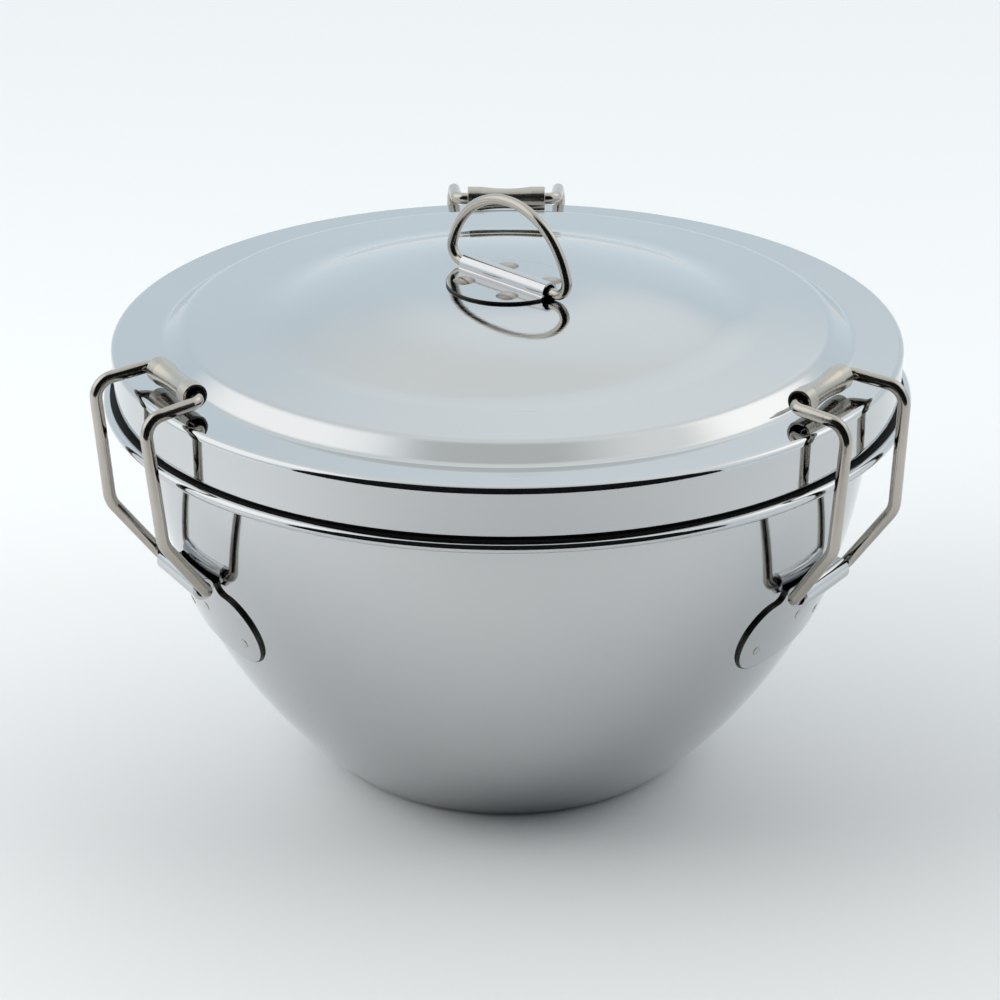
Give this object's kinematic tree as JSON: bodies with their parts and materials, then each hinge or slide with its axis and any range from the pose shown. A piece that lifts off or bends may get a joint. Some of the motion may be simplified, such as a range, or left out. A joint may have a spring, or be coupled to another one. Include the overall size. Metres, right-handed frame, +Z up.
{
  "type": "pudding steamer",
  "caption": "Stainless steel pudding basin with a rolled rim and a black seal, a domed lid with a folding ring handle, and sprung wire clips with rollers that hold the lid down.",
  "frame": {"origin": "centre of the flat base, on the table", "axes": "+Z up along the bowl's axis, +Y towards the rear clip, +X to the right as seen from the front"},
  "size_m": [0.1942, 0.1993, 0.1427],
  "materials": {
    "bowl_steel": "polished, with a faint grain round the bowl",
    "lid_steel": "polished, with a faint grain round the lid",
    "seal_rubber": "matt black moulded ring",
    "plate_steel": "polished pressed sheet",
    "wire_steel": "drawn wire, a little duller than the sheet",
    "roller_steel": "drawn tube, satin",
    "weld_steel": "heat-tinted spot weld"
  },
  "bodies": {
    "bowl": {"bowl": "bowl_steel", "seal": "seal_rubber", "left_bracket": "plate_steel", "left_bracket_welds": "weld_steel", "right_bracket": "plate_steel", "right_bracket_welds": "weld_steel", "rear_bracket": "plate_steel", "rear_bracket_welds": "weld_steel"},
    "lid": {"lid": "lid_steel", "handle_plate": "plate_steel", "handle_welds": "weld_steel"},
    "handle": {"handle_ring": "wire_steel"},
    "left_clip": {"left_bail": "wire_steel"},
    "left_roller": {"left_roller": "roller_steel"},
    "right_clip": {"right_bail": "wire_steel"},
    "right_roller": {"right_roller": "roller_steel"},
    "rear_clip": {"rear_bail": "wire_steel"},
    "rear_roller": {"rear_roller": "roller_steel"}
  },
  "joints": [
    {"name": "lid_turn", "type": "hinge", "parent": "bowl", "child": "lid", "pos_m": [0, 0, 0.1083], "axis": [0, 0, 1], "continuous": true},
    {"name": "handle_flip", "type": "hinge", "parent": "lid", "child": "handle", "pos_m": [0, 0, 0.1223], "axis": [0.7009, -0.7133, 0], "range_deg": [-90, 90]},
    {"name": "left_clip_swing", "type": "hinge", "parent": "bowl", "child": "left_clip", "pos_m": [-0.07558, -0.04258, 0.0639], "axis": [0.4909, -0.8712, 0], "range_deg": [0, 160]},
    {"name": "left_roller_spin", "type": "hinge", "parent": "left_clip", "child": "left_roller", "pos_m": [-0.07601, -0.04283, 0.1122], "axis": [0.4909, -0.8712, 0], "continuous": true},
    {"name": "right_clip_swing", "type": "hinge", "parent": "bowl", "child": "right_clip", "pos_m": [0.07275, -0.04725, 0.0639], "axis": [0.5446, 0.8387, 0], "range_deg": [0, 160]},
    {"name": "right_roller_spin", "type": "hinge", "parent": "right_clip", "child": "right_roller", "pos_m": [0.07175, -0.0466, 0.11219], "axis": [0.5446, 0.8387, 0], "continuous": true},
    {"name": "rear_clip_swing", "type": "hinge", "parent": "bowl", "child": "rear_clip", "pos_m": [-0.0003, 0.08675, 0.0639], "axis": [-1, -0.0035, 0], "range_deg": [0, 160]},
    {"name": "rear_roller_spin", "type": "hinge", "parent": "rear_clip", "child": "rear_roller", "pos_m": [-0.0003, 0.0864, 0.1122], "axis": [-1, -0.0035, 0], "continuous": true}
  ]
}
